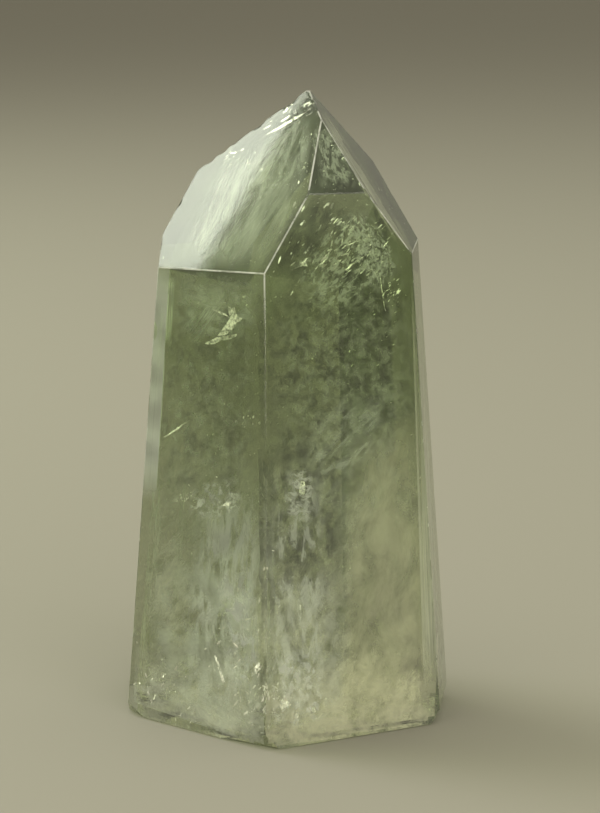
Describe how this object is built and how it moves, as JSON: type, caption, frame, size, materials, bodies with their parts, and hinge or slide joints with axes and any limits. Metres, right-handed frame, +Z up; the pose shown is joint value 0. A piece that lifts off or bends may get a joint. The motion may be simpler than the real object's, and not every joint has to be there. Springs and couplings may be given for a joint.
{
  "type": "prasiolite tower",
  "caption": "Polished six-sided tower of pale green quartz that tapers to an uneven faceted point and stands on a flat ground base.",
  "frame": {"origin": "middle of the stone's box at the ground base, on the surface it stands on", "axes": "+Z up the stone to its point, -Y towards the front upright edge, +X to the right as seen from the front"},
  "size_m": [0.0366, 0.0332, 0.07],
  "materials": {
    "prasiolite": "polished"
  },
  "bodies": {
    "root": {"prasiolite_tower": "prasiolite"}
  },
  "joints": []
}
